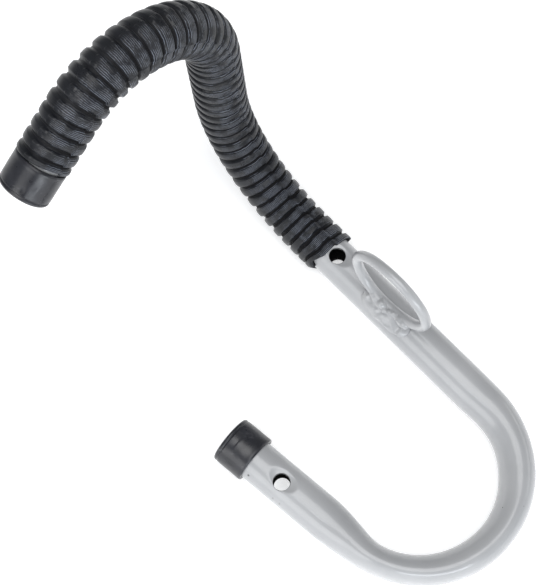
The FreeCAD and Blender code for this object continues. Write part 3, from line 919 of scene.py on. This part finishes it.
class Nodes:
    """A small helper to write a material's node tree."""

    def __init__(self, name):
        self.material = bpy.data.materials.new(name)
        self.material.use_nodes = True
        self.tree = self.material.node_tree
        self.shader = self.tree.nodes["Principled BSDF"]
        self.place = self.add("ShaderNodeTexCoord").outputs["Object"]

    def add(self, kind, **inputs):
        """A new node, with its inputs fed by name."""
        node = self.tree.nodes.new(kind)
        for key, value in inputs.items():
            self.feed(node.inputs[key], value)
        return node

    def feed(self, socket, value):
        """Link another node's output to a socket, or set the socket itself to a value."""
        if isinstance(value, bpy.types.NodeSocket):
            self.tree.links.new(value, socket)
        else:
            socket.default_value = value

    def set(self, **inputs):
        """Feed the shader's own inputs, written with _ for each space in a name."""
        for key, value in inputs.items():
            self.feed(self.shader.inputs[key.replace("_", " ")], value)

    def reading(self, name):
        """The number that keep_values stored under a name."""
        node = self.tree.nodes.new("ShaderNodeAttribute")
        node.attribute_name = name
        return node.outputs["Fac"]

    def near(self, point, radius):
        """1 within a spot of the surface, 0 outside it."""
        node = self.tree.nodes.new("ShaderNodeVectorMath")
        node.operation = "DISTANCE"
        self.feed(node.inputs[0], self.place)
        node.inputs[1].default_value = tuple(point)
        return self.ramp(node.outputs["Value"], 1, 0, radius * 0.55, radius)

    def clouds(self, scale, detail=3.0, rough=0.5):
        """Noise between 0 and 1, with about `scale` clouds to a metre."""
        node = self.add("ShaderNodeTexNoise", Vector=self.place, Scale=scale, Detail=detail, Roughness=rough)
        return node.outputs["Fac"]

    def ramp(self, value, low, high, from_low=0.3, from_high=0.7):
        """`low` where the value is from_low or less, `high` where it is from_high or more."""
        node = self.add("ShaderNodeMapRange", Value=value)
        for number, amount in enumerate((from_low, from_high, low, high), start=1):
            node.inputs[number].default_value = amount
        return node.outputs["Result"]

    def mix(self, share, first, second):
        """The first colour where the share is 0, and the second where it is 1."""
        node = self.tree.nodes.new("ShaderNodeMix")
        node.data_type = "RGBA"
        self.feed(node.inputs[0], share)
        self.feed(node.inputs[6], first)
        self.feed(node.inputs[7], second)
        return node.outputs[2]

    def math(self, kind, first, second):
        """A sum, a product and so on. A sine only takes the first number."""
        node = self.tree.nodes.new("ShaderNodeMath")
        node.operation = kind
        self.feed(node.inputs[0], first)
        self.feed(node.inputs[1], second)
        return node.outputs[0]

    def relief(self, height, distance, strength=1.0, under=None):
        """A normal bent by fine relief, on top of another one if `under` is given."""
        node = self.add("ShaderNodeBump", Height=height, Distance=distance, Strength=strength)
        if under is not None:
            self.feed(node.inputs["Normal"], under)
        return node.outputs["Normal"]


# Pits in the enamel: distance along the tube, degrees round it, radius in millimetres.
PITS = ((21.5, -58, 0.9), (41, -66, 0.55), (46, -66, 0.5))


def enamel():
    """Glossy silver-grey enamel with orange peel, dust under it, a few pits, and near black inside: bare
    steel darkened as painted shade, with painted shade on the holes' inner rims.
    """
    made = Nodes("silver_enamel")
    patches = made.clouds(38, 4)
    colour = made.mix(made.ramp(patches, 0, 1), PAINT_DARK, PAINT_LIGHT)
    grit = made.add("ShaderNodeTexVoronoi", Vector=made.place, Scale=150.0)
    specks = made.ramp(grit.outputs["Distance"], 1, 0, 0.030, 0.055)
    dust = made.math("MULTIPLY", specks, made.ramp(made.clouds(45, 1), 0, 1, 0.62, 0.66))
    for distance, angle, radius in PITS:
        point = on_line(np.array(distance * MM), np.array(math.radians(angle)), np.array(TUBE_RAD))
        dust = made.math("MAXIMUM", dust, made.near(point, radius * MM))
    colour = made.mix(dust, colour, PIT_COLOUR)
    # Painted shade: the marked bore and inner rims go near black.
    inside = made.reading("inside")
    colour = made.mix(inside, colour, BARE_STEEL_AND_SHADE)
    gloss = made.ramp(made.clouds(90, 2), 0.30, 0.40)
    made.set(Base_Color=colour, Roughness=made.math("MAXIMUM", gloss, inside))
    made.set(Coat_Weight=0.6, Coat_Roughness=0.13, IOR=1.42)
    peel = made.relief(made.clouds(700, 2), 0.05 * MM, 0.30)
    waves = made.relief(made.clouds(120, 2), 0.20 * MM, 0.22, peel)
    made.set(Normal=waves, Coat_Normal=waves)
    return made.material


def rubber():
    """Moulded black rubber: near-black painted shade in the grooves, satin with bloom and fine drag lines
    elsewhere, the lines pale blue as a painted sheen.
    """
    made = Nodes("black_rubber")
    wobble = made.ramp(made.clouds(260, 4), -1.6, 1.6)
    around = made.math("MULTIPLY", made.reading("rib_turns"), 2 * math.pi * DRAG_LINES_PER_RIB)
    wave = made.math("SINE", made.math("ADD", around, wobble), 0.0)
    broken = made.ramp(made.clouds(130, 4, 0.6), 0.25, 1.0, 0.42, 0.58)
    lines = made.math("MULTIPLY", wave, made.math("MULTIPLY", made.reading("drag_lines_and_sheen"), broken))
    bloom = made.ramp(made.clouds(60, 5, 0.6), 0, 1)
    crest = made.mix(bloom, RUBBER_BLACK, RUBBER_BLOOM)
    # Painted sheen: pale blue along the drag lines, which also bump the surface.
    crest = made.mix(made.ramp(lines, 0, 1.0, 0.25, 0.90), crest, DRAG_LINE_SHEEN)
    # Painted shade: grooves go near black.
    groove = made.reading("groove")
    made.set(Base_Color=made.mix(groove, crest, GROOVE_PAINTED_SHADE))
    fine = made.ramp(made.clouds(900, 3), -0.05, 0.05)
    broad = made.ramp(made.clouds(80, 3), 0.26, 0.42)
    dull = made.math("MULTIPLY", groove, 0.55)
    made.set(Roughness=made.math("ADD", made.math("ADD", fine, broad), dull), IOR=1.38)
    grain = made.relief(made.clouds(1600, 3), 0.05 * MM, 0.5)
    drag = made.relief(lines, 0.16 * MM, 1.0, grain)
    made.set(Normal=made.relief(made.clouds(260, 4), 0.12 * MM, 0.4, drag))
    return made.material


def vinyl():
    """Dipped charcoal vinyl: satin, mottled, with pale scuffs."""
    made = Nodes("charcoal_vinyl")
    mottle = made.ramp(made.clouds(110, 4), 0, 1)
    colour = made.mix(mottle, VINYL_DARK, VINYL_LIGHT)
    scratch = made.add("ShaderNodeTexNoise", Scale=240.0, Detail=5.0, Roughness=0.65)
    stretch = made.add("ShaderNodeMapping", Vector=made.place, Scale=(0.25, 1.0, 1.0))
    made.feed(scratch.inputs["Vector"], stretch.outputs["Vector"])
    scuffs = made.ramp(scratch.outputs["Fac"], 0, 0.6, 0.60, 0.76)
    colour = made.mix(scuffs, colour, SCUFF)
    made.set(Base_Color=colour, Roughness=made.ramp(made.clouds(160, 4), 0.24, 0.40), IOR=1.5)
    grain = made.relief(made.clouds(1300, 3), 0.05 * MM, 0.35)
    made.set(Normal=made.relief(scratch.outputs["Fac"], 0.12 * MM, 0.35, grain))
    return made.material


def floor_paint():
    """Matt pale paint with a faint glow, which keeps the shadows soft."""
    made = Nodes("pale_floor")
    shade = made.ramp(made.clouds(3, 2), 0, 1)
    made.set(Base_Color=made.mix(shade, FLOOR_DARK, FLOOR_LIGHT), Roughness=0.9, Specular_IOR_Level=0.1)
    made.set(Emission_Color=WHITE, Emission_Strength=0.38)
    return made.material


# ---------------------------------------------------------------- studio and camera

FLOOR_HALF = 9.0
FLOOR_DROP = 0.2 * MM
SKY_COLOUR = (0.93, 0.96, 1.0, 1)
SKY_STRENGTH = 0.27

# Soft lights: name, azimuth from +X towards +Y, elevation, distance in metres, size in metres, power in
# watts and colour.
NEUTRAL = (1.0, 1.0, 1.0)
COOL = (0.90, 0.95, 1.0)
LIGHTS = (
    ("overhead", -80, 82, 1.3, (1.1, 1.1), 13.3, NEUTRAL),
    ("back_right", 32, 14, 1.5, (1.2, 0.4), 3, NEUTRAL),
    ("front_left", -121, 18, 1.6, (0.9, 1.0), 8.5, NEUTRAL),
    ("front_right", -60, 12, 1.5, (1.2, 0.4), 11, COOL),
)

# The camera: where it stands, and the azimuth from -Y towards +X and the elevation that it looks from.
CAMERA_SPOT = (18.52 * MM, -236.60 * MM, 878.08 * MM)
CAMERA_AZIMUTH = 11.412
CAMERA_ELEVATION = 71.888
CAMERA_ROLL = 2.96
CAMERA_LENS_MM = 90.98
CAMERA_SENSOR_MM = 36.0
CAMERA_CLIP = (0.05, 20.0)


def make_floor():
    """A wide plain sheet just under the object."""
    half = FLOOR_HALF
    height = CAD_LOW.z - FLOOR_DROP
    mesh = bpy.data.meshes.new("floor")
    corners = [(-half, -half, height), (half, -half, height), (half, half, height), (-half, half, height)]
    mesh.from_pydata(corners, [], [(0, 1, 2, 3)])
    mesh.materials.append(floor_paint())
    floor = bpy.data.objects.new("floor", mesh)
    bpy.context.scene.collection.objects.link(floor)


def make_light(name, azimuth, elevation, distance, size, power, colour):
    """A soft rectangular light looking at the object's middle."""
    centre = (CAD_LOW + CAD_HIGH) / 2
    a, e = math.radians(azimuth), math.radians(elevation)
    away = Vector((math.cos(a) * math.cos(e), math.sin(a) * math.cos(e), math.sin(e)))
    lamp = bpy.data.lights.new(name, "AREA")
    lamp.shape = "RECTANGLE"
    lamp.size, lamp.size_y = size
    lamp.energy = power
    lamp.color = colour
    made = bpy.data.objects.new(name, lamp)
    made.location = centre + away * distance
    made.rotation_euler = (-away).to_track_quat("-Z", "Y").to_euler()
    bpy.context.scene.collection.objects.link(made)


def make_world():
    """An even pale sky all round."""
    world = bpy.data.worlds.new("studio")
    world.use_nodes = True
    sky = world.node_tree.nodes["Background"]
    sky.inputs["Color"].default_value = SKY_COLOUR
    sky.inputs["Strength"].default_value = SKY_STRENGTH
    bpy.context.scene.world = world


def make_camera():
    """A long lens looking steeply down on the hook as it lies on its wall side."""
    lens = bpy.data.cameras.new("camera")
    lens.sensor_fit = "AUTO"
    lens.sensor_width = CAMERA_SENSOR_MM
    lens.lens = CAMERA_LENS_MM
    lens.clip_start, lens.clip_end = CAMERA_CLIP
    camera = bpy.data.objects.new("camera", lens)
    a, e = math.radians(CAMERA_AZIMUTH), math.radians(CAMERA_ELEVATION)
    back = Vector((math.sin(a) * math.cos(e), -math.cos(a) * math.cos(e), math.sin(e)))
    camera.location = CAMERA_SPOT
    level = (-back).to_track_quat("-Z", "Y")
    rolled = Matrix.Rotation(math.radians(CAMERA_ROLL), 3, back).to_quaternion()
    camera.rotation_mode = "QUATERNION"
    camera.rotation_quaternion = rolled @ level
    bpy.context.scene.collection.objects.link(camera)
    bpy.context.scene.camera = camera


# ---------------------------------------------------------------- build

def build():
    """Every piece, then the studio round it."""
    paint, grip, dipped = enamel(), rubber(), vinyl()
    make_hook_tube(paint)
    make_sleeve(grip)
    make_cap("tip_cap_moulded", "tip_cap", TIP, 1, dipped, TIP_MARKS, seed=3.0)
    make_cap("heel_cap_moulded", "heel_cap", 0.0, -1, dipped, HEEL_MARKS, seed=8.0)
    make_ring(paint)
    make_weld(paint)
    make_floor()
    make_world()
    for light in LIGHTS:
        make_light(*light)
    bpy.context.scene.view_settings.view_transform = "Standard"
    make_camera()


build()
